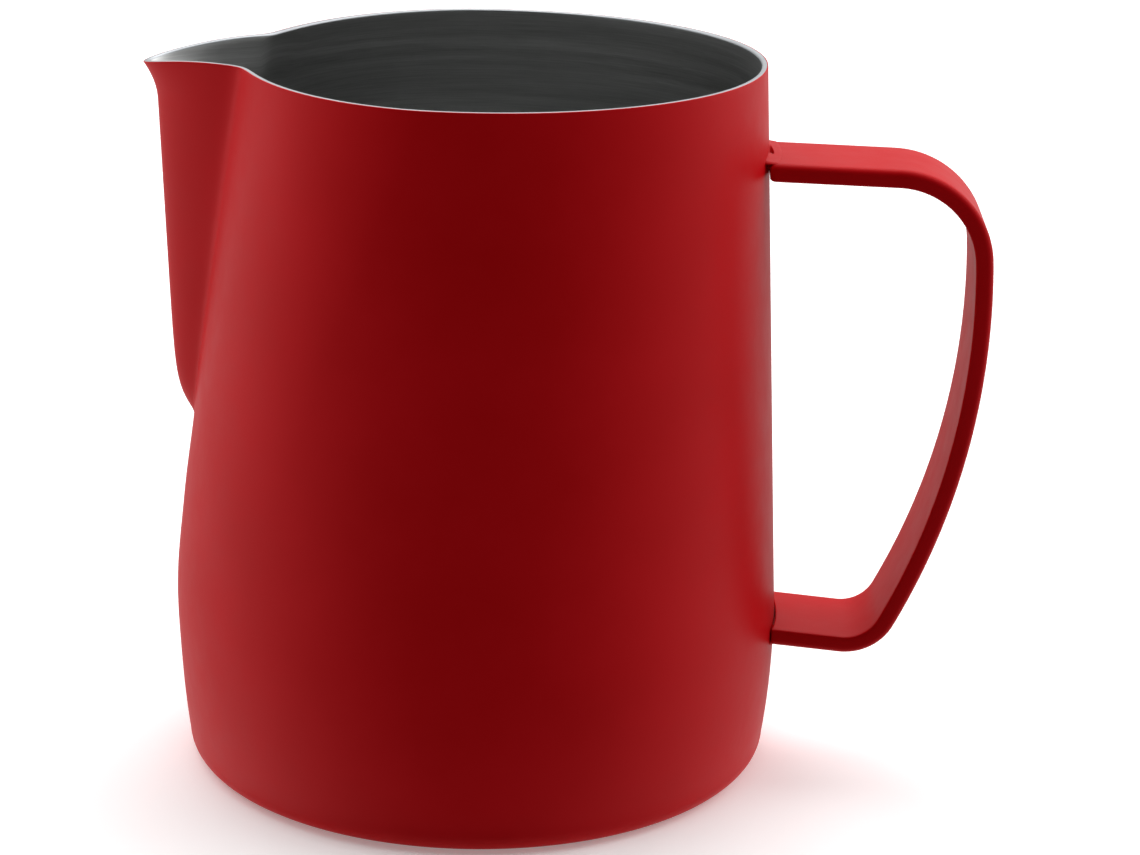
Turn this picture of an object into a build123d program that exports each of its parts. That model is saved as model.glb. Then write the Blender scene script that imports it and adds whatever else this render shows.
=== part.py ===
from build123d import *

# Milk frothing pitcher: a cup drawn from one sheet of stainless steel, with a pressed pouring spout,
# a powder coat over its outside, and a flat strap handle welded on opposite the spout.
# Row frame: origin at the middle of the base, +Z up, handle towards +X, spout towards -X.

import os
from math import cos, degrees, exp, hypot, radians, sin, sinh, sqrt

os.makedirs("parts", exist_ok=True)

# ---- Driving dimensions, mm. Outside sizes include the coat. ----
HEIGHT = 105.2
RIM_RADIUS = 40.65
COAT = 0.15
WALL = 0.8

# Round wall: a straight taper down from the rim, which curves in below the belly.
WALL_TAPER = 0.0505
BELLY_HEIGHT = 26.0
BELLY_CURVE = 0.0042
CORNER_RADIUS = 3.4

# Base: a flat standing ring around a recessed middle.
RECESS_DEPTH = 0.8
RECESS_RADIUS = 33.0
RECESS_SLOPE = 2.5

# Pinch: the spout press flattens the wall on both sides of the spout, and the wall below bulges a little.
PINCH_START = 42.0
PINCH_DEPTH = 5.4
PINCH_POWER = 0.88
PINCH_SOFTNESS = 0.03
PINCH_FULL_RIM = 12.0
PINCH_SHARPNESS = 1.6
PINCH_SPREAD_RIM = 83.0
PINCH_SPREAD_LOW = 50.0
BULGE = 0.6
BULGE_HEIGHT = 28.0
BULGE_SPAN = 9.0

# Spout: two flanks that meet in a rounded front ridge and fold into the wall along straight creases.
SPOUT_BOTTOM = 51.5
RIDGE_RADIUS = 45.35
RIDGE_LEAN = 0.0403
RIDGE_SOFTNESS = 2.8
RIDGE_SET_BACK = 2.28
RIDGE_FADE = 4.0
RIDGE_BLEND = 0.12
CREASE_ANGLE_RIM = 22.0
CREASE_ANGLE_LOW = 5.5
CREASE_SOFTNESS = 0.055
RIDGE_ROUNDING = 3.5
LIP_START = 97.8
LIP_REACH = 1.3
LIP_SPAN = 4.6
LIP_ANGLE = 7.0
TIP_DROP_START = 34.0
TIP_DROP_RADIUS = 60.0
TIP_DROP_ANGLE = 25.0

# Handle: a flat strap bent in one plane. Outer sizes include the coat.
STRAP_WIDTH = 16.6
STRAP_THICKNESS = 2.6
OUTER_EDGE_RADIUS = 1.0
INNER_EDGE_RADIUS = 0.35
ARM_HEIGHT = 91.2
ARM_START = 38.0
ARM_LENGTH = 21.83
ARM_SLOPE = -1.2
TOP_BEND_RADIUS = 12.9
TOP_BEND_ANGLE = 85.2
GRIP_RADIUS = 107.3
GRIP_ANGLE = 30.4
LOW_BEND_RADIUS = 6.8
LOW_BEND_ANGLE = 68.0
LOW_ARM_LENGTH = 14.0
LOW_ARM_HEIGHT = 20.5

# The strap ends stand a little off the wall.
UPPER_GAP = 0.8
LOWER_GAP = 0.25

# Weld beads between the strap ends and the wall: the upper one fills the top of its gap and has a small
# pit left in it, the lower one fills the bottom of its gap.
UPPER_WELD_LENGTH = 13.6
UPPER_WELD_SHIFT = 0.4
UPPER_WELD_DEPTH = 1.1
UPPER_WELD_DROP = 0.25
LOWER_WELD_LENGTH = 14.8
LOWER_WELD_DEPTH = 1.3
LOWER_WELD_RISE = 0.35
WELD_REACH = 0.4
PIT_LENGTH = 4.6
PIT_WIDTH = 0.6
PIT_DEPTH = 0.7
PIT_SHIFT = 0.6

# Cutting solids reach this far past what they cut.
CLEAR_SPAN = 70.0
CLEAR_HEIGHT = 30.0

# Outline points run round from the handle side, crowded towards the spout.
HALF_COUNT = 26
CROWDING = 3.8
NORMAL_STEP = 0.05

# Heights of the wall's outlines above the corner, close together at the spout's bottom and lip.
CORNER_STEPS = 4
WALL_HEIGHTS = (CORNER_RADIUS, 8, 14, 21, 28, 35, 41, 46, 50, 53, 56, 60, 65, 71, 78, 85, 92, 97, 101, 104)


def soft_positive(value, softness):
    """The value where it is well above zero, and nearly nothing where it is well below."""
    return (value + sqrt(value * value + 4 * softness * softness)) / 2


def round_radius(height):
    """Outer radius of the round wall, away from the spout."""
    curve = BELLY_CURVE * max(0.0, BELLY_HEIGHT - height) ** 2
    return RIM_RADIUS + WALL_TAPER * (HEIGHT - height) - curve


def pinch_depth(height):
    """How far the wall beside the spout is pressed in. It is negative in the bulge below."""
    rise = soft_positive((height - PINCH_START) / (HEIGHT - PINCH_START), PINCH_SOFTNESS)
    bulge = BULGE * exp(-(((height - BULGE_HEIGHT) / BULGE_SPAN) ** 2))
    return PINCH_DEPTH * rise**PINCH_POWER - bulge


def pinch_share(angle, height):
    """Share of the pinch depth at an angle from the spout: all of it at the spout, none far round."""
    rise = min(max((height - PINCH_START) / (HEIGHT - PINCH_START), 0.0), 1.0)
    start = PINCH_FULL_RIM * rise
    end = PINCH_SPREAD_LOW + (PINCH_SPREAD_RIM - PINCH_SPREAD_LOW) * rise
    turn = min(max((angle - start) / (end - start), 0.0), 1.0)
    return cos(radians(90.0 * turn)) ** PINCH_SHARPNESS


def ridge_radius(height):
    """Distance of the spout's front ridge from the axis, with its rounded bottom and rolled lip."""
    set_back = RIDGE_SET_BACK * exp(-(height - SPOUT_BOTTOM) / RIDGE_SOFTNESS)
    return RIDGE_RADIUS + RIDGE_LEAN * (height - SPOUT_BOTTOM) - set_back


def lip_flare(angle, height):
    """How far the pouring lip is rolled outwards."""
    climb = max(0.0, height - LIP_START) / LIP_SPAN
    return LIP_REACH * climb**2 * exp(-((angle / LIP_ANGLE) ** 2))


def wall_radius(angle, height):
    """Outer radius of the whole wall at an angle from the spout and a height."""
    pinched = round_radius(height) - pinch_depth(height) * pinch_share(angle, height)
    ridge_step = ridge_radius(height) - round_radius(height) + pinch_depth(height)
    step = soft_positive(ridge_step, RIDGE_BLEND) if height > SPOUT_BOTTOM - RIDGE_FADE else 0.0
    climb = max(0.0, (height - SPOUT_BOTTOM) / (HEIGHT - SPOUT_BOTTOM))
    crease = CREASE_ANGLE_LOW + (CREASE_ANGLE_RIM - CREASE_ANGLE_LOW) * climb
    flank = soft_positive(1 - hypot(angle, RIDGE_ROUNDING) / crease, CREASE_SOFTNESS)
    crest = soft_positive(1 - RIDGE_ROUNDING / crease, CREASE_SOFTNESS)
    return pinched + step * flank / crest + lip_flare(angle, height)


def half_angles():
    """Angles from the spout to the handle side, close together at the spout."""
    return [180 * sinh(CROWDING * i / HALF_COUNT) / sinh(CROWDING) for i in range(HALF_COUNT + 1)]


def turn_angles():
    """Angles once round, from the handle side through the spout and back."""
    half = half_angles()
    return [-angle for angle in reversed(half[1:])] + half[:-1]


def wall_point(angle, height, inset):
    """A point of the wall's outline, moved in by the inset along the outline's own normal."""
    here = wall_radius(abs(angle), height)
    change = wall_radius(abs(angle + NORMAL_STEP), height) - wall_radius(abs(angle - NORMAL_STEP), height)
    lean = change / radians(2 * NORMAL_STEP) / here
    length = sqrt(1 + lean * lean)
    along = here - inset / length
    across = inset * lean / length
    turn = radians(angle)
    x = -(along * cos(turn) - across * sin(turn))
    y = along * sin(turn) + across * cos(turn)
    return (x, y)


def wall_section(height, inset, placed_at=None):
    """The wall's closed outline at a height, as a face placed there or at another height."""
    points = [wall_point(angle, height, inset) for angle in turn_angles()]
    knots = [(angle + 180) / 360 for angle in turn_angles()] + [1.0]
    with BuildSketch(Plane.XY.offset(height if placed_at is None else placed_at)) as section:
        with BuildLine():
            add(Edge.make_spline(points, periodic=True, parameters=knots))
        make_face()
    return section.sketch


def wall_sections(inset, top):
    """Outlines from the base up: round the corner by equal turns, then up the wall to the top."""
    sections = []
    radius = CORNER_RADIUS - inset
    for step in range(CORNER_STEPS):
        turn = radians(90 * step / CORNER_STEPS)
        in_from_wall = inset + radius * (1 - sin(turn))
        sections.append(wall_section(CORNER_RADIUS, in_from_wall, CORNER_RADIUS - radius * cos(turn)))
    for height in WALL_HEIGHTS + (top,):
        sections.append(wall_section(height, inset))
    return sections


def strap(inset):
    """The bent strap, cut at both ends to stand off the wall, with all its faces moved in by the inset."""
    with BuildPart() as bent:
        with BuildLine(Plane.XZ) as route:
            arm = PolarLine((ARM_START, ARM_HEIGHT), ARM_LENGTH, ARM_SLOPE)
            top_bend = JernArc(arm @ 1, arm % 1, TOP_BEND_RADIUS, -TOP_BEND_ANGLE)
            grip = JernArc(top_bend @ 1, top_bend % 1, GRIP_RADIUS, -GRIP_ANGLE)
            low_bend = JernArc(grip @ 1, grip % 1, LOW_BEND_RADIUS, -LOW_BEND_ANGLE)
            Line(low_bend @ 1, low_bend @ 1 + LOW_ARM_LENGTH * (low_bend % 1))
        start = Plane(origin=route.line @ 0, x_dir=(0, 1, 0), z_dir=route.line % 0)
        with BuildSketch(start) as section:
            Rectangle(STRAP_WIDTH - 2 * inset, STRAP_THICKNESS - 2 * inset)
            fillet(section.vertices().group_by(Axis.Y)[-1], OUTER_EDGE_RADIUS - inset)
            fillet(section.vertices().group_by(Axis.Y)[0], INNER_EDGE_RADIUS - inset)
        sweep()
        with Locations((0, 0, ARM_HEIGHT)):
            Cylinder(round_radius(ARM_HEIGHT) + UPPER_GAP + inset, CLEAR_HEIGHT, mode=Mode.SUBTRACT)
        with Locations((0, 0, LOW_ARM_HEIGHT)):
            Cylinder(round_radius(LOW_ARM_HEIGHT) + LOWER_GAP + inset, CLEAR_HEIGHT, mode=Mode.SUBTRACT)
    return bent.part


def curved_bar(radius, length, shift, width, bottom, depth):
    """A bar with rounded ends, bent round the cup's axis in the gap between the wall and a strap end."""
    turn = degrees(length / radius)
    middle = degrees(shift / radius)
    with BuildPart() as bar:
        with BuildSketch(Plane.XY.offset(bottom)):
            SlotArc(CenterArc((0, 0), radius, middle - turn / 2, turn), width)
        extrude(amount=depth)
    return bar.part


# ---- Envelopes: the coated outside, the steel outside and the space inside ----
with BuildPart() as coated_outside:
    loft(wall_sections(0, HEIGHT))

with BuildPart() as steel_outside:
    loft(wall_sections(COAT, HEIGHT))
    extrude(steel_outside.faces().sort_by(Axis.Z)[0], amount=COAT)

with BuildPart() as inside:
    loft(wall_sections(COAT + WALL, HEIGHT + WALL))

with BuildPart() as above_rim:
    with BuildSketch(Plane.XZ):
        with BuildLine():
            rim = Line((CLEAR_SPAN, HEIGHT), (-TIP_DROP_START, HEIGHT))
            drop = JernArc(rim @ 1, rim % 1, TIP_DROP_RADIUS, TIP_DROP_ANGLE)
            top = HEIGHT + CLEAR_HEIGHT
            Polyline(drop @ 1, (-CLEAR_SPAN, HEIGHT), (-CLEAR_SPAN, top), (CLEAR_SPAN, top), (CLEAR_SPAN, HEIGHT))
        make_face()
    extrude(amount=CLEAR_SPAN, both=True)

with BuildPart() as base_recess:
    Cone(RECESS_RADIUS + RECESS_SLOPE, RECESS_RADIUS, RECESS_DEPTH, align=(Align.CENTER, Align.CENTER, Align.MIN))

# ---- Body shell: the drawn steel cup with its pressed spout, bare inside and at the rim ----
with BuildPart() as body_shell:
    add(steel_outside.part)
    add(inside.part, mode=Mode.SUBTRACT)
    add(base_recess.part.moved(Location((0, 0, COAT + WALL))))
    add(base_recess.part, mode=Mode.SUBTRACT)
    add(above_rim.part, mode=Mode.SUBTRACT)

# ---- Handle strap: the steel core of the handle ----
with BuildPart() as handle_strap:
    add(strap(COAT))

# ---- Weld beads: bars across the gaps, which reach through the coats to the steel on both sides ----
upper_middle = round_radius(ARM_HEIGHT) + UPPER_GAP / 2
upper_width = UPPER_GAP + 2 * WELD_REACH
upper_top = ARM_HEIGHT + STRAP_THICKNESS / 2 - UPPER_WELD_DROP
upper_bottom = upper_top - UPPER_WELD_DEPTH
upper_bar = curved_bar(upper_middle, UPPER_WELD_LENGTH, UPPER_WELD_SHIFT, upper_width, upper_bottom, UPPER_WELD_DEPTH)
pit = curved_bar(upper_middle, PIT_LENGTH, PIT_SHIFT, PIT_WIDTH, upper_top - PIT_DEPTH, PIT_DEPTH)
with BuildPart() as upper_weld:
    add(upper_bar)
    add(pit, mode=Mode.SUBTRACT)
    add(steel_outside.part, mode=Mode.SUBTRACT)
    add(handle_strap.part, mode=Mode.SUBTRACT)

lower_middle = round_radius(LOW_ARM_HEIGHT) + LOWER_GAP / 2
lower_width = LOWER_GAP + 2 * WELD_REACH
lower_bottom = LOW_ARM_HEIGHT - STRAP_THICKNESS / 2 + LOWER_WELD_RISE
lower_bar = curved_bar(lower_middle, LOWER_WELD_LENGTH, 0, lower_width, lower_bottom, LOWER_WELD_DEPTH)
with BuildPart() as lower_weld:
    add(lower_bar)
    add(steel_outside.part, mode=Mode.SUBTRACT)
    add(handle_strap.part, mode=Mode.SUBTRACT)

# ---- Body coating: the powder coat over the cup's outside, down to the standing ring ----
with BuildPart() as body_coating:
    add(coated_outside.part)
    Cylinder(CLEAR_SPAN, 2 * COAT, mode=Mode.SUBTRACT)
    add(steel_outside.part, mode=Mode.SUBTRACT)
    add(above_rim.part, mode=Mode.SUBTRACT)
    add(upper_bar, mode=Mode.SUBTRACT)
    add(lower_bar, mode=Mode.SUBTRACT)

# ---- Handle coating: the powder coat all round the strap ----
with BuildPart() as handle_coating:
    add(strap(0))
    add(handle_strap.part, mode=Mode.SUBTRACT)
    add(upper_bar, mode=Mode.SUBTRACT)
    add(lower_bar, mode=Mode.SUBTRACT)

body_shell.part.label = "body_shell"
body_coating.part.label = "body_coating"
handle_strap.part.label = "handle_strap"
handle_coating.part.label = "handle_coating"
upper_weld.part.label = "upper_weld"
lower_weld.part.label = "lower_weld"

for piece in (body_shell, body_coating, handle_strap, handle_coating, upper_weld, lower_weld):
    export_step(piece.part, f"parts/{piece.part.label}.step")
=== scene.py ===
from math import cos, pi, radians, sin

import bpy
import numpy as np
from mathutils import Matrix, Vector


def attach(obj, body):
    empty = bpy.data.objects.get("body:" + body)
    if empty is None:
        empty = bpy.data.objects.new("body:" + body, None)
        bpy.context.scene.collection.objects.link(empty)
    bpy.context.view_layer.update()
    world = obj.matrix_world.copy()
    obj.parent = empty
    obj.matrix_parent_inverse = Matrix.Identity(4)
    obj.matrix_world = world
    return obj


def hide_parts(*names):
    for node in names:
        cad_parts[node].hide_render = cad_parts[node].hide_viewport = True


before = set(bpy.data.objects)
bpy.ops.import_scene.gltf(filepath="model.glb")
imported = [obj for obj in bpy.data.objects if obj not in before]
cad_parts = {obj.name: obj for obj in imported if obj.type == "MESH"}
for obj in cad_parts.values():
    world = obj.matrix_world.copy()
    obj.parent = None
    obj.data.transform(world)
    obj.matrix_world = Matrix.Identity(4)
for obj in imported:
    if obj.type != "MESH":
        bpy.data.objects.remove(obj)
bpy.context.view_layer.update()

MM = 0.001

# ---- Body dimensions, mm, the same as in the CAD source ----
HEIGHT = 105.2
RIM_RADIUS = 40.65
COAT = 0.15
WALL = 0.8
WALL_TAPER = 0.0505
BELLY_HEIGHT = 26.0
BELLY_CURVE = 0.0042
CORNER_RADIUS = 3.4
RECESS_DEPTH = 0.8
RECESS_RADIUS = 33.0
RECESS_SLOPE = 2.5
PINCH_START = 42.0
PINCH_DEPTH = 5.4
PINCH_POWER = 0.88
PINCH_SOFTNESS = 0.03
PINCH_FULL_RIM = 12.0
PINCH_SHARPNESS = 1.6
PINCH_SPREAD_RIM = 83.0
PINCH_SPREAD_LOW = 50.0
BULGE = 0.6
BULGE_HEIGHT = 28.0
BULGE_SPAN = 9.0
SPOUT_BOTTOM = 51.5
RIDGE_RADIUS = 45.35
RIDGE_LEAN = 0.0403
RIDGE_SOFTNESS = 2.8
RIDGE_SET_BACK = 2.28
RIDGE_FADE = 4.0
RIDGE_BLEND = 0.12
CREASE_ANGLE_RIM = 22.0
CREASE_ANGLE_LOW = 5.5
CREASE_SOFTNESS = 0.055
RIDGE_ROUNDING = 3.5
LIP_START = 97.8
LIP_REACH = 1.3
LIP_SPAN = 4.6
LIP_ANGLE = 7.0
TIP_DROP_START = 34.0
TIP_DROP_RADIUS = 60.0
NORMAL_STEP = 0.05

# ---- Small rounded edges of the body, mm ----
OUTER_RIM_ROUNDING = 0.08
INNER_RIM_ROUNDING = 0.32

# The recess's rounded step, under the cup and on its floor: radius, and height as a share of its depth.
RECESS_RINGS = (
    (12, 1), (24, 1), (RECESS_RADIUS - 1.5, 1), (RECESS_RADIUS, 0.96), (RECESS_RADIUS + 0.6, 0.84),
    (RECESS_RADIUS + 1.9, 0.16), (RECESS_RADIUS + RECESS_SLOPE, 0.04), (RECESS_RADIUS + 3.4, 0),
)
FLOOR_RINGS = (
    (RECESS_RADIUS + 3.2, 0), (RECESS_RADIUS + 2.3, 0.08), (RECESS_RADIUS + 0.4, 0.86),
    (RECESS_RADIUS - 0.5, 1), (28, 1), (20, 1), (10, 1),
)

# The coat reaches this far into the steel, so that the two faces never coincide.
COAT_BITE = 0.005
# The coat's edge under the rim: how far in each ring is, and how far below the rim.
COAT_RIM_DROP = 0.1
COAT_RIM_RINGS = ((0.012, 0.05), (0.045, 0.017), (0.09, 0.004), (COAT + COAT_BITE, 0.002))
# Where the coat starts on the base corner, in degrees round it, outside and at the steel, and where the
# steel's own corner rows start.
COAT_FOOT_TURNS = (14, 16)
STEEL_FOOT_TURN = 8

# ---- Rows of the body's meshes ----
HALF_COUNT = 220
CROWDING = 2.3
CORNER_ROWS = 10
# The rim zone's rows follow the rim. Below it the rows are level: from, to and spacing.
RIM_ZONE = 96.0
RIM_ZONE_ROWS = 17
WALL_ROWS = ((CORNER_RADIUS, 46.0, 1.5), (46.0, 60.0, 0.5), (60.0, RIM_ZONE, 1.0))

# ---- Handle dimensions, mm ----
STRAP_WIDTH = 16.6
STRAP_THICKNESS = 2.6
OUTER_EDGE_RADIUS = 1.0
INNER_EDGE_RADIUS = 0.35
ARM_HEIGHT = 91.2
ARM_START = 38.0
ARM_LENGTH = 21.83
ARM_SLOPE = -1.2
TOP_BEND_RADIUS = 12.9
TOP_BEND_ANGLE = 85.2
GRIP_RADIUS = 107.3
GRIP_ANGLE = 30.4
LOW_BEND_RADIUS = 6.8
LOW_BEND_ANGLE = 68.0
LOW_ARM_LENGTH = 14.0
LOW_ARM_HEIGHT = 20.5
UPPER_GAP = 0.8
LOWER_GAP = 0.25

# How far each end's rounding runs along the strap, and how far in from its faces.
UPPER_END_ROUNDING = (0.9, 0.45)
LOWER_END_ROUNDING = (0.2, 0.2)
LEAST_EDGE_RADIUS = 0.05

# Steps of the strap's mesh along each stretch, over each end, and across half its flat.
ARM_STEPS = 12
TOP_BEND_STEPS = 28
GRIP_STEPS = 40
LOW_BEND_STEPS = 22
LOW_ARM_STEPS = 8
END_SHARES = np.linspace(0.1, 0.9, 9)
FLAT_STEPS = 10

# ---- Weld beads, mm: where each starts and ends across the strap ----
UPPER_WELD_SPAN = (-7.7, 8.2)
LOWER_WELD_SPAN = (-8.2, 8.2)
# A bead sinks this far into the wall and the strap, and its toe on the strap sinks as far.
WELD_OVERLAP = 0.06
# Its sections shrink over this length at both ends, towards a point this far under the top.
WELD_END_LENGTH = 0.5
WELD_CORE_DEPTH = 0.3
# Its toe on the strap: the thickness there, and how far under the top it meets the strap's end.
WELD_TOE = 0.1
WELD_HEEL = 0.55
WELD_SECTIONS = 90
WELD_SECTION_STEPS = 36
# The upper bead laps onto the strap's face. It is thin at its near end, and its pit lies between two places.
UPPER_WELD_RISE = 0.02
UPPER_WELD_REACH = 1.0
THIN_WELD = 0.3
FULL_WELD = 1.4
PIT_SPAN = (-1.9, 3.8)
PIT_DEPTH = 0.95
PIT_SET_BACK = 0.5
# The lower bead lies this far under the strap's top, but comes up to it at its far end.
LOWER_WELD_DROP = 1.6
LOWER_WELD_RISE = 0.05

# ---- Stage, light and camera ----
FLOOR_HALF = 30.0
FLOOR_LEVEL = -0.00005
PATCH_RADIUS = 0.0455
PATCH_LEVEL = -0.00004
PATCH_SIDES = 96

# Soft lights round the object: azimuth from the camera's side towards +X and elevation in degrees,
# how tight each light is, and its strength.
SOFT_LIGHTS = (
    (-140, 15, 5, 0.5), (140, 15, 5, 1.0),
    (-110, 8, 12, 0.6), (110, 8, 12, 1.0),
    (-105, 50, 12, 2.3), (105, 50, 12, 2.8),
    (-90, -35, 5, 1.7), (90, -35, 5, 1.1),
    (180, 60, 12, 3.6), (180, -35, 5, 0.5),
    (0, -90, 4, 0.5),
)

CAMERA_PLACE = (0.02929, -0.42335, 0.18369)
CAMERA_FORWARD = (-0.0358, 0.9528, -0.3013)
CAMERA_LEVEL = (0.99929, 0.03755, 0.0)
CAMERA_ROLL = 1.20
CAMERA_LENS = 94.30
CAMERA_SENSOR = 36.0


# ---- The wall's shape, by the CAD source's formulas, for whole arrays at once ----
def soft_positive(value, softness):
    """The value where it is well above zero, and nearly nothing where it is well below."""
    return (value + np.sqrt(value * value + 4 * softness * softness)) / 2


def round_radius(height):
    """Outer radius of the round wall, away from the spout."""
    curve = BELLY_CURVE * np.maximum(0.0, BELLY_HEIGHT - height) ** 2
    return RIM_RADIUS + WALL_TAPER * (HEIGHT - height) - curve


def pinch_depth(height):
    """How far the wall beside the spout is pressed in. It is negative in the bulge below."""
    rise = soft_positive((height - PINCH_START) / (HEIGHT - PINCH_START), PINCH_SOFTNESS)
    bulge = BULGE * np.exp(-(((height - BULGE_HEIGHT) / BULGE_SPAN) ** 2))
    return PINCH_DEPTH * rise**PINCH_POWER - bulge


def pinch_share(angle, height):
    """Share of the pinch depth at an angle from the spout: all of it at the spout, none far round."""
    rise = np.clip((height - PINCH_START) / (HEIGHT - PINCH_START), 0, 1)
    start = PINCH_FULL_RIM * rise
    end = PINCH_SPREAD_LOW + (PINCH_SPREAD_RIM - PINCH_SPREAD_LOW) * rise
    turn = np.clip((angle - start) / (end - start), 0, 1)
    return np.maximum(np.cos(pi / 2 * turn), 0) ** PINCH_SHARPNESS


def ridge_radius(height):
    """Distance of the spout's front ridge from the axis, with its rounded bottom."""
    rise = height - SPOUT_BOTTOM
    set_back = RIDGE_SET_BACK * np.exp(-np.maximum(rise, -RIDGE_FADE) / RIDGE_SOFTNESS)
    return RIDGE_RADIUS + RIDGE_LEAN * rise - set_back


def lip_flare(angle, height):
    """How far the pouring lip is rolled outwards."""
    climb = np.maximum(0.0, height - LIP_START) / LIP_SPAN
    return LIP_REACH * climb**2 * np.exp(-((angle / LIP_ANGLE) ** 2))


def wall_radius(angle, height):
    """Outer radius of the whole wall at an angle from the spout and a height."""
    angle = np.abs(angle)
    depth = pinch_depth(height)
    pinched = round_radius(height) - depth * pinch_share(angle, height)
    ridge_step = ridge_radius(height) - round_radius(height) + depth
    in_spout = height > SPOUT_BOTTOM - RIDGE_FADE
    step = np.where(in_spout, soft_positive(ridge_step, RIDGE_BLEND), 0.0)
    climb = np.maximum(0.0, (height - SPOUT_BOTTOM) / (HEIGHT - SPOUT_BOTTOM))
    crease = CREASE_ANGLE_LOW + (CREASE_ANGLE_RIM - CREASE_ANGLE_LOW) * climb
    flank = soft_positive(1 - np.hypot(angle, RIDGE_ROUNDING) / crease, CREASE_SOFTNESS)
    crest = soft_positive(1 - RIDGE_ROUNDING / crease, CREASE_SOFTNESS)
    return pinched + step * flank / crest + lip_flare(angle, height)


def wall_ring(angle, height, inset):
    """Points of the wall's outline, moved in by the inset along the outline's normal."""
    here = wall_radius(angle, height)
    change = wall_radius(angle + NORMAL_STEP, height) - wall_radius(angle - NORMAL_STEP, height)
    lean = change / radians(2 * NORMAL_STEP) / here
    length = np.sqrt(1 + lean * lean)
    along = here - inset / length
    across = inset * lean / length
    turn = np.radians(angle)
    x = -(along * np.cos(turn) - across * np.sin(turn))
    y = along * np.sin(turn) + across * np.cos(turn)
    return np.stack([x, y, height + 0 * x], axis=-1)


def rim_ring(angle, inset, below):
    """Points of the outline just under the rim, which dips in an arc towards the spout's tip.
    The rim's height depends on how far out the outline is, so it is worked out in a few rounds."""
    height = np.full_like(angle, HEIGHT)
    for _ in range(6):
        x = wall_ring(angle, height - below, inset)[:, 0]
        out = np.maximum(0.0, -x - TIP_DROP_START)
        height = HEIGHT - (TIP_DROP_RADIUS - np.sqrt(TIP_DROP_RADIUS**2 - out**2))
    return wall_ring(angle, height - below, inset)


def corner_rings(angle, inset, first):
    """Outlines round the base corner, from a turn in degrees up to the wall."""
    radius = CORNER_RADIUS - inset
    rings = []
    for turn in np.linspace(radians(first), pi / 2, CORNER_ROWS, endpoint=False):
        ring = wall_ring(angle, np.full_like(angle, CORNER_RADIUS), inset + radius * (1 - sin(turn)))
        ring[:, 2] = CORNER_RADIUS - radius * cos(turn)
        rings.append(ring)
    return rings


def wall_rings(angle, inset, below):
    """Outlines up the wall, then through the rim zone to a distance below the rim."""
    rings = []
    for first, last, spacing in WALL_ROWS:
        for height in np.arange(first, last, spacing):
            rings.append(wall_ring(angle, np.full_like(angle, height), inset))
    end = rim_ring(angle, inset, below)
    for share in np.linspace(0, 1, RIM_ZONE_ROWS):
        height = RIM_ZONE + (end[:, 2] - RIM_ZONE) * share
        rings.append(wall_ring(angle, height, inset))
    return rings


def turn_angles():
    """Angles once round, from the handle side and close together at the spout, at angle 0."""
    share = np.arange(HALF_COUNT + 1) / HALF_COUNT
    half = 180 * np.sinh(CROWDING * share) / np.sinh(CROWDING)
    return np.concatenate([-half[:0:-1], half[:-1]])


def circle_ring(angle, radius, height):
    """Points of a level circle, at the wall outlines' angles."""
    turn = np.radians(angle)
    return np.stack([-radius * np.cos(turn), radius * np.sin(turn), np.full_like(angle, height)], axis=-1)


# ---- Mesh helpers ----
def mesh_object(name, points, faces):
    """A smooth object from points in mm."""
    mesh = bpy.data.meshes.new(name)
    mesh.from_pydata((np.asarray(points) * MM).tolist(), [], faces)
    mesh.validate()
    mesh.polygons.foreach_set("use_smooth", [True] * len(mesh.polygons))
    mesh.update()
    piece = bpy.data.objects.new(name, mesh)
    bpy.context.scene.collection.objects.link(piece)
    return piece


def ring_faces(rows, count, closed_rows=False):
    """Quads between closed rings of equal count. They face out where the rings run clockwise, seen from the
    last one."""
    faces = []
    last = rows if closed_rows else rows - 1
    for row in range(last):
        low = row * count
        high = ((row + 1) % rows) * count
        for i in range(count):
            j = (i + 1) % count
            faces.append((low + j, low + i, high + i, high + j))
    return faces


def make_rings(name, rings, closed_rows=False, poles=()):
    """A mesh from closed rings. The poles, if any, close the first and the last ring with fans."""
    count = len(rings[0])
    points = np.concatenate([*rings, poles]) if poles else np.concatenate(rings)
    faces = ring_faces(len(rings), count, closed_rows)
    last = (len(rings) - 1) * count
    for end in range(len(poles)):
        centre = len(rings) * count + end
        for i in range(count):
            j = (i + 1) % count
            faces.append((centre, last + j, last + i) if end else (centre, i, j))
    return mesh_object(name, points, faces)


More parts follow.
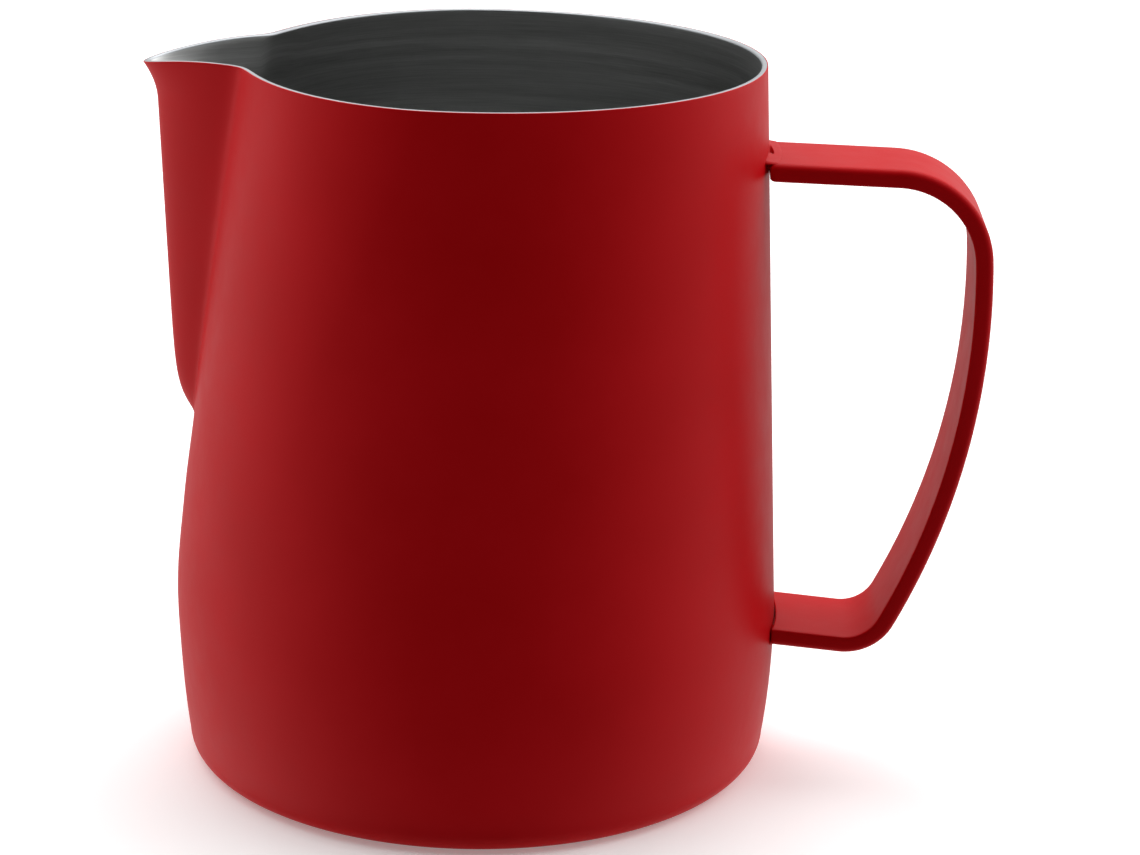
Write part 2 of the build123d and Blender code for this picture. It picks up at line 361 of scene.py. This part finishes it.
# ---- Steel cup: inside, floor, rim edge, outside under the coat, standing ring and recess ----
def steel_cup():
    """The cup in one closed mesh: from the middle of its underside, out, up, over the rim and down inside.
    The rim's faces take the second material."""
    angle = turn_angles()
    inner = COAT + WALL
    rings = [circle_ring(angle, radius, RECESS_DEPTH * share) for radius, share in RECESS_RINGS]
    foot = wall_ring(angle, np.full_like(angle, CORNER_RADIUS), CORNER_RADIUS)
    foot[:, 2] = 0.0
    rings.append(foot)
    rings += corner_rings(angle, COAT, STEEL_FOOT_TURN)
    rings += wall_rings(angle, COAT, OUTER_RIM_ROUNDING)
    first_rim_row = len(rings) - 1
    for turn in np.linspace(pi / 8, pi / 2, 4):
        inset = COAT + OUTER_RIM_ROUNDING * (1 - cos(turn))
        rings.append(rim_ring(angle, inset, OUTER_RIM_ROUNDING * (1 - sin(turn))))
    for turn in np.linspace(pi / 2, pi / 12, 6):
        inset = inner - INNER_RIM_ROUNDING * (1 - cos(turn))
        rings.append(rim_ring(angle, inset, INNER_RIM_ROUNDING * (1 - sin(turn))))
    last_rim_row = len(rings)
    rings += wall_rings(angle, inner, INNER_RIM_ROUNDING)[::-1]
    rings += corner_rings(angle, inner, 0)[::-1]
    rings += [circle_ring(angle, radius, inner + RECESS_DEPTH * share) for radius, share in FLOOR_RINGS]
    cup = make_rings("steel_cup", rings, poles=((0, 0, RECESS_DEPTH), (0, 0, inner + RECESS_DEPTH)))
    for face in cup.data.polygons[first_rim_row * len(angle):last_rim_row * len(angle)]:
        face.material_index = 1
    return cup


# ---- Body coat: a thin closed skin over the steel, with soft edges at the rim and the foot ----
def body_coat():
    """The coat in one closed mesh: up its outside, over its edge at the rim and down along the steel."""
    angle = turn_angles()
    outside_turn, steel_turn = COAT_FOOT_TURNS
    rings = corner_rings(angle, 0, outside_turn)
    rings += wall_rings(angle, 0, COAT_RIM_DROP)
    rings += [rim_ring(angle, inset, below) for inset, below in COAT_RIM_RINGS]
    rings += wall_rings(angle, COAT + COAT_BITE, COAT_RIM_DROP)[::-1]
    rings += corner_rings(angle, COAT, steel_turn)[::-1]
    return make_rings("body_coat", rings, closed_rows=True)


# ---- Handle: the strap's middle line, as straight arms and tangent arcs in the XZ plane ----
def strap_line():
    """Points and headings, in radians, along the strap from the upper arm round to the lower arm."""
    heading = radians(ARM_SLOPE)
    place = np.array([ARM_START, ARM_HEIGHT])
    points, headings = [place.copy()], [heading]

    def straight(length, count):
        nonlocal place
        for _ in range(count):
            place = place + length / count * np.array([cos(heading), sin(heading)])
            points.append(place.copy())
            headings.append(heading)

    def bend(radius, degrees, count):
        nonlocal place, heading
        step = radians(degrees) / count
        for _ in range(count):
            chord = 2 * radius * sin(step / 2)
            middle = heading - step / 2
            place = place + chord * np.array([cos(middle), sin(middle)])
            heading -= step
            points.append(place.copy())
            headings.append(heading)

    straight(ARM_LENGTH, ARM_STEPS)
    bend(TOP_BEND_RADIUS, TOP_BEND_ANGLE, TOP_BEND_STEPS)
    bend(GRIP_RADIUS, GRIP_ANGLE, GRIP_STEPS)
    bend(LOW_BEND_RADIUS, LOW_BEND_ANGLE, LOW_BEND_STEPS)
    straight(LOW_ARM_LENGTH, LOW_ARM_STEPS)
    return np.array(points), np.array(headings)


def strap_section(inset):
    """The strap's outline: offsets along its outer normal and across its width, closed, upper side first."""
    half_width = STRAP_WIDTH / 2 - inset
    half_thickness = STRAP_THICKNESS / 2 - inset
    outer = max(OUTER_EDGE_RADIUS - inset, LEAST_EDGE_RADIUS)
    inner = max(INNER_EDGE_RADIUS - inset, LEAST_EDGE_RADIUS)
    right = [(half_thickness, y) for y in np.linspace(0, half_width - outer, FLAT_STEPS, endpoint=False)]
    for turn in np.linspace(0, pi / 2, 7):
        right.append((half_thickness - outer * (1 - cos(turn)), half_width - outer * (1 - sin(turn))))
    for turn in np.linspace(0, pi / 2, 5):
        right.append((-half_thickness + inner * (1 - sin(turn)), half_width - inner * (1 - cos(turn))))
    under = np.linspace(half_width - inner, 0, FLAT_STEPS, endpoint=False)
    right += [(-half_thickness, y) for y in under[1:]]
    right.append((-half_thickness, 0.0))
    left = [(out, -y) for out, y in right[::-1]][1:-1]
    return np.array(right + left)


def strap_mesh(name, inset):
    """The bent strap in one closed mesh, its faces moved in by the inset and its ends short of the wall."""
    line, headings = strap_line()
    full = strap_section(inset)
    upper_radius = float(round_radius(ARM_HEIGHT)) + UPPER_GAP + inset
    lower_radius = float(round_radius(LOW_ARM_HEIGHT)) + LOWER_GAP + inset
    rings = []

    def placed(section, index, shift):
        """The section at a point of the line, each of its points moved along the line by its own shift."""
        along = np.array([cos(headings[index]), sin(headings[index])])
        up = np.array([-along[1], along[0]])
        plane = line[index] + section[:, :1] * up + np.reshape(shift, (-1, 1)) * along
        return np.stack([plane[:, 0], section[:, 1], plane[:, 1]], axis=-1)

    def to_wall(index, radius):
        """How far each point of the section has to move along the arm to meet a cylinder round the cup."""
        at = placed(full, index, np.zeros(len(full)))
        reach = np.sqrt(radius**2 - full[:, 1] ** 2)
        return (reach - at[:, 0]) / cos(headings[index])

    def rounded_end(index, shifts, rounding, side, turns):
        """Rings round one end: the section grows from the end's flat to full size over the rounding's length.
        It returns the shifts of the full-size ring."""
        length, depth = (value - inset for value in rounding)
        for turn in turns:
            cut = strap_section(inset + depth * (1 - sin(turn)))
            rings.append(placed(cut, index, shifts + side * length * (1 - cos(turn))))
        return shifts + side * length

    turns = np.linspace(0, pi / 2, 7)
    upper_index = ARM_STEPS
    shifts = rounded_end(upper_index, to_wall(upper_index, upper_radius), UPPER_END_ROUNDING, 1, turns)
    for share in END_SHARES:
        rings.append(placed(full, upper_index, shifts * (1 - share)))
    lower_index = len(line) - 1 - LOW_ARM_STEPS
    for index in range(upper_index, lower_index + 1):
        rings.append(placed(full, index, np.zeros(len(full))))
    ends = to_wall(lower_index, lower_radius)
    for share in END_SHARES:
        rings.append(placed(full, lower_index, (ends - LOWER_END_ROUNDING[0] + inset) * share))
    rounded_end(lower_index, ends, LOWER_END_ROUNDING, -1, turns[::-1])
    count = len(full)
    faces = ring_faces(len(rings), count)
    for base, flip in ((0, False), ((len(rings) - 1) * count, True)):
        mirror = [base + (count - i) % count for i in range(count // 2 + 1)]
        for i in range(count // 2):
            corners = list(dict.fromkeys([base + i, base + i + 1, mirror[i + 1], mirror[i]]))
            if len(corners) > 2:
                faces.append(tuple(corners[::-1] if flip else corners))
    return mesh_object(name, np.concatenate(rings), faces)


# ---- Weld beads: coated webs between the strap's ends and the wall ----
def ease(value, start, end):
    """From 0 at the start to 1 at the end, with level ends."""
    share = np.clip((value - start) / (end - start), 0, 1)
    return share * share * (3 - 2 * share)


def edge_drop(across, edge):
    """How far a strap's face has dropped on its rounded edge."""
    past = np.clip(np.abs(across) - (STRAP_WIDTH / 2 - edge), 0, edge)
    return edge - np.sqrt(edge**2 - past**2)


def weld_section(across, height, gap, top, bottom, climb, reach, pit):
    """A bead's section at one place across the strap: from the wall, down a hollow curve onto the strap, and
    back underneath. It returns the radius and height of each point, and the height of the section's core.
    The pit gives its depth and half width there."""
    high = top(across)
    low = bottom(across)
    strap_end = float(round_radius(height)) + gap
    start = strap_end - gap - WELD_OVERLAP
    share = np.linspace(0, 1, WELD_SECTION_STEPS)
    radius = start + (strap_end + reach(across) - start) * share
    hollow = 1 - np.sqrt(1 - (1 - share) ** 2)
    level = high + climb(across) * hollow - WELD_OVERLAP * ease(share, 0.8, 1)
    depth, width = pit(across)
    level = level - depth * np.exp(-(((radius - strap_end + PIT_SET_BACK) / width) ** 4))
    back = strap_end + WELD_OVERLAP
    radius = np.concatenate([radius, [radius[-1], back, back, start]])
    level = np.concatenate([level, [high - WELD_TOE, high - WELD_HEEL, low, low]])
    return radius, np.maximum(level, low), max(high - WELD_CORE_DEPTH, (high + low) / 2)


def weld_bead(name, height, gap, span, *shape):
    """A closed web of sections across the strap, from its far side to its near side, leaning with the wall."""
    middle = (span[0] + span[1]) / 2
    half = (span[1] - span[0]) / 2
    sections = []
    for turn in np.linspace(pi / 2, -pi / 2, WELD_SECTIONS):
        across = middle + half * sin(turn)
        radius, level, core = weld_section(across, height, gap, *shape)
        fullness = np.sqrt(np.clip((half - abs(across - middle)) / WELD_END_LENGTH, 0.01, 1))
        level = core + (level - core) * fullness
        radius = radius + round_radius(level) - round_radius(height)
        x = np.sqrt(radius**2 - across**2)
        sections.append(np.stack([x, 0 * x + across, level], axis=-1))
    count = len(sections[0])
    faces = ring_faces(len(sections), count)
    last = (len(sections) - 1) * count
    faces.append(tuple(range(count)))
    faces.append(tuple(last + i for i in reversed(range(count))))
    return mesh_object(name, np.concatenate(sections), faces)


def upper_weld_bead():
    """Web over the whole top of the upper gap, thin at its near end, with a pit in its middle."""
    face = ARM_HEIGHT + STRAP_THICKNESS / 2

    def top(across):
        return face + UPPER_WELD_RISE - edge_drop(across, OUTER_EDGE_RADIUS)

    def bottom(across):
        thickness = THIN_WELD + (FULL_WELD - THIN_WELD) * ease(across, -6.8, -5.4)
        return face - thickness - edge_drop(across, OUTER_EDGE_RADIUS)

    def climb(across):
        return 0.55 + 0.25 * ease(across, 2.0, 6.0) - 0.25 * ease(-across, 3.0, 8.0)

    def reach(across):
        return UPPER_WELD_REACH

    def pit(across):
        opening = ease(across, PIT_SPAN[0] - 0.3, PIT_SPAN[0] + 0.4)
        closing = ease(across, 1.2, PIT_SPAN[1])
        width = 0.12 + 0.18 * (1 - ease(across, *PIT_SPAN))
        return PIT_DEPTH * opening * (1 - closing), width

    return weld_bead("upper_weld_bead", ARM_HEIGHT, UPPER_GAP, UPPER_WELD_SPAN,
                     top, bottom, climb, reach, pit)


def lower_weld_bead():
    """Web along the bottom of the lower gap, which rises to the top of the strap at its far end."""

    def top(across):
        drop = LOWER_WELD_DROP * (1 - ease(across, 3.5, 5.6))
        return LOW_ARM_HEIGHT + STRAP_THICKNESS / 2 - drop - edge_drop(across, INNER_EDGE_RADIUS)

    def bottom(across):
        face = LOW_ARM_HEIGHT - STRAP_THICKNESS / 2
        return face + LOWER_WELD_RISE + edge_drop(across, OUTER_EDGE_RADIUS)

    def climb(across):
        return 0.15 + 0.75 * ease(across, 3.8, 6.0)

    def reach(across):
        return WELD_OVERLAP + 0.5 * ease(across, 4.0, 6.0)

    def no_pit(across):
        return 0.0, 1.0

    return weld_bead("lower_weld_bead", LOW_ARM_HEIGHT, LOWER_GAP, LOWER_WELD_SPAN,
                     top, bottom, climb, reach, no_pit)


# ---- Materials ----
# The rings brushed into the cup's floor end at this radius, in metres. Past it the scratches lie level.
BRUSHED_FLOOR_RADIUS = 0.036


def node_material(name):
    """A new material, its node tree and its shader."""
    material = bpy.data.materials.new(name)
    material.use_nodes = True
    return material, material.node_tree, material.node_tree.nodes["Principled BSDF"]


def add_node(tree, kind, inputs=None, **settings):
    """A node with its settings, and its inputs either linked or set."""
    node = tree.nodes.new(kind)
    for key, value in settings.items():
        setattr(node, key, value)
    for key, value in (inputs or {}).items():
        if isinstance(value, bpy.types.NodeSocket):
            tree.links.new(value, node.inputs[key])
        else:
            node.inputs[key].default_value = value
    return node


def noise(tree, vector, scale, detail=2.0, roughness=0.5):
    return add_node(tree, "ShaderNodeTexNoise", {"Vector": vector, "Scale": scale, "Detail": detail,
                                                 "Roughness": roughness}).outputs["Fac"]


def remap(tree, value, low, high, start=0.3, end=0.7):
    return add_node(tree, "ShaderNodeMapRange", {"Value": value, "From Min": start, "From Max": end,
                                                 "To Min": low, "To Max": high}).outputs["Result"]


def maths(tree, operation, first, second=0.0):
    return add_node(tree, "ShaderNodeMath", {0: first, 1: second}, operation=operation).outputs[0]


def red_coat_material():
    """Satin red powder coat: a fine orange peel, tiny grain, and slight changes of tone and gloss."""
    material, tree, shader = node_material("red_powder_coat")
    place = add_node(tree, "ShaderNodeTexCoord").outputs["Object"]
    tone = noise(tree, place, 60.0, 3.0)
    grain = noise(tree, place, 2600.0, 2.0)
    peel = noise(tree, place, 700.0, 1.5)
    gloss = noise(tree, place, 240.0, 4.0)
    blend = add_node(tree, "ShaderNodeMix", {"Factor": remap(tree, tone, 0.0, 1.0)}, data_type="RGBA")
    blend.inputs["A"].default_value = (0.53, 0.0020, 0.0045, 1)
    blend.inputs["B"].default_value = (0.57, 0.0030, 0.0065, 1)
    tree.links.new(blend.outputs["Result"], shader.inputs["Base Color"])
    tree.links.new(remap(tree, gloss, 0.40, 0.46), shader.inputs["Roughness"])
    fine = add_node(tree, "ShaderNodeBump", {"Strength": 0.10, "Distance": 0.00004, "Height": grain})
    broad = add_node(tree, "ShaderNodeBump", {"Strength": 0.12, "Distance": 0.00010, "Height": peel,
                                              "Normal": fine.outputs["Normal"]})
    tree.links.new(broad.outputs["Normal"], shader.inputs["Normal"])
    shader.inputs["Specular IOR Level"].default_value = 0.06
    return material


def steel_material(name, dark, light, roughness, anisotropy):
    """Stainless steel with fine scratches that run round the cup, and rings on its floor."""
    material, tree, shader = node_material(name)
    place = add_node(tree, "ShaderNodeTexCoord").outputs["Object"]
    parts = add_node(tree, "ShaderNodeSeparateXYZ", {"Vector": place})
    x, y, z = parts.outputs
    squares = maths(tree, "ADD", maths(tree, "MULTIPLY", x, x), maths(tree, "MULTIPLY", y, y))
    floor_radius = maths(tree, "MINIMUM", maths(tree, "SQRT", squares), BRUSHED_FLOOR_RADIUS)
    across = maths(tree, "ADD", z, floor_radius)
    lines = add_node(tree, "ShaderNodeCombineXYZ", {"X": maths(tree, "MULTIPLY", x, 0.02),
                                                    "Y": maths(tree, "MULTIPLY", y, 0.02), "Z": across})
    fine = noise(tree, lines.outputs[0], 5200.0, 3.0, 0.7)
    wide = noise(tree, lines.outputs[0], 900.0, 3.0, 0.6)
    cloud = noise(tree, place, 45.0, 3.0)
    streaks = maths(tree, "ADD", remap(tree, fine, 0.0, 0.6), remap(tree, wide, 0.0, 0.4))
    blend = add_node(tree, "ShaderNodeMix", {"Factor": streaks}, data_type="RGBA")
    blend.inputs["A"].default_value = (*dark, 1)
    blend.inputs["B"].default_value = (*light, 1)
    tree.links.new(blend.outputs["Result"], shader.inputs["Base Color"])
    shade = maths(tree, "ADD", remap(tree, wide, roughness, roughness + 0.1), remap(tree, cloud, 0.0, 0.05))
    tree.links.new(shade, shader.inputs["Roughness"])
    bump = add_node(tree, "ShaderNodeBump", {"Strength": 0.25, "Distance": 0.00003, "Height": fine})
    tree.links.new(bump.outputs["Normal"], shader.inputs["Normal"])
    shader.inputs["Metallic"].default_value = 1.0
    shader.inputs["Anisotropic"].default_value = anisotropy
    tangent = add_node(tree, "ShaderNodeTangent", direction_type="RADIAL", axis="Z")
    tree.links.new(tangent.outputs[0], shader.inputs["Tangent"])
    return material


def floor_material():
    material, tree, shader = node_material("pale_floor")
    shader.inputs["Base Color"].default_value = (1, 1, 1, 1)
    shader.inputs["Roughness"].default_value = 0.9
    shader.inputs["Specular IOR Level"].default_value = 0.0
    shader.inputs["Emission Color"].default_value = (1, 1, 1, 1)
    shader.inputs["Emission Strength"].default_value = 0.2
    return material


# ---- Stage, light and camera ----
def stage_piece(name, points, material):
    """A flat piece of the stage from points in metres."""
    mesh = bpy.data.meshes.new(name)
    mesh.from_pydata(points, [], [tuple(range(len(points)))])
    piece = bpy.data.objects.new(name, mesh)
    bpy.context.scene.collection.objects.link(piece)
    piece.data.materials.append(material)
    return piece


def add_floor():
    """A wide pale floor that the lights reach under, and a small round patch of it, just wider than the cup,
    that keeps the base in its own shade."""
    material = floor_material()
    corners = ((-1, -1), (1, -1), (1, 1), (-1, 1))
    square = [(x * FLOOR_HALF, y * FLOOR_HALF, FLOOR_LEVEL) for x, y in corners]
    floor = stage_piece("floor", square, material)
    floor.visible_diffuse = False
    floor.visible_glossy = False
    floor.visible_shadow = False
    turns = np.linspace(0, 2 * pi, PATCH_SIDES, endpoint=False)
    round_points = [(PATCH_RADIUS * cos(turn), PATCH_RADIUS * sin(turn), PATCH_LEVEL) for turn in turns]
    patch = stage_piece("floor_patch", round_points, material)


def add_lights():
    """The soft lights, as one world whose brightness falls off smoothly round each light's direction."""
    world = bpy.data.worlds.new("studio")
    bpy.context.scene.world = world
    world.use_nodes = True
    tree = world.node_tree
    background = tree.nodes["Background"]
    way = add_node(tree, "ShaderNodeTexCoord").outputs["Generated"]
    total = 0.0
    for azimuth, elevation, focus, strength in SOFT_LIGHTS:
        turn, lift = radians(azimuth), radians(elevation)
        aim = (sin(turn) * cos(lift), -cos(turn) * cos(lift), sin(lift))
        facing = add_node(tree, "ShaderNodeVectorMath", {0: way, 1: aim}, operation="DOT_PRODUCT")
        past = maths(tree, "SUBTRACT", facing.outputs["Value"], 1.0)
        falloff = maths(tree, "EXPONENT", maths(tree, "MULTIPLY", past, focus))
        total = maths(tree, "ADD", maths(tree, "MULTIPLY", falloff, strength), total)
    tree.links.new(total, background.inputs["Strength"])
    background.inputs["Color"].default_value = (1, 1, 1, 1)


def add_camera():
    camera_data = bpy.data.cameras.new("camera")
    camera = bpy.data.objects.new("camera", camera_data)
    bpy.context.scene.collection.objects.link(camera)
    bpy.context.scene.camera = camera
    camera_data.sensor_width = CAMERA_SENSOR
    camera_data.lens = CAMERA_LENS
    forward = Vector(CAMERA_FORWARD).normalized()
    level = Vector(CAMERA_LEVEL).normalized()
    upright = level.cross(forward)
    roll = radians(CAMERA_ROLL)
    right = cos(roll) * level + sin(roll) * upright
    above = -sin(roll) * level + cos(roll) * upright
    turn = Matrix((right, above, -forward)).transposed()
    camera.matrix_world = Matrix.Translation(CAMERA_PLACE) @ turn.to_4x4()


# ---- Build and place the pieces ----
def finish_piece(piece, material, node):
    piece.data.materials.append(material)
    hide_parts(node)
    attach(piece, "root")


red_coat = red_coat_material()
steel = steel_material("brushed_stainless_steel", (0.44, 0.445, 0.44), (0.66, 0.665, 0.66), 0.30, 0.6)
rim_steel = steel_material("deburred_rim_steel", (0.34, 0.355, 0.37), (0.44, 0.455, 0.47), 0.38, 0.2)

cup = steel_cup()
finish_piece(cup, steel, "body_shell")
cup.data.materials.append(rim_steel)
finish_piece(body_coat(), red_coat, "body_coating")
finish_piece(strap_mesh("strap_core", COAT + COAT_BITE), steel, "handle_strap")
finish_piece(strap_mesh("strap_coat", 0.0), red_coat, "handle_coating")
finish_piece(upper_weld_bead(), red_coat, "upper_weld")
finish_piece(lower_weld_bead(), red_coat, "lower_weld")

add_floor()
add_lights()
add_camera()
bpy.context.scene.view_settings.view_transform = "Standard"
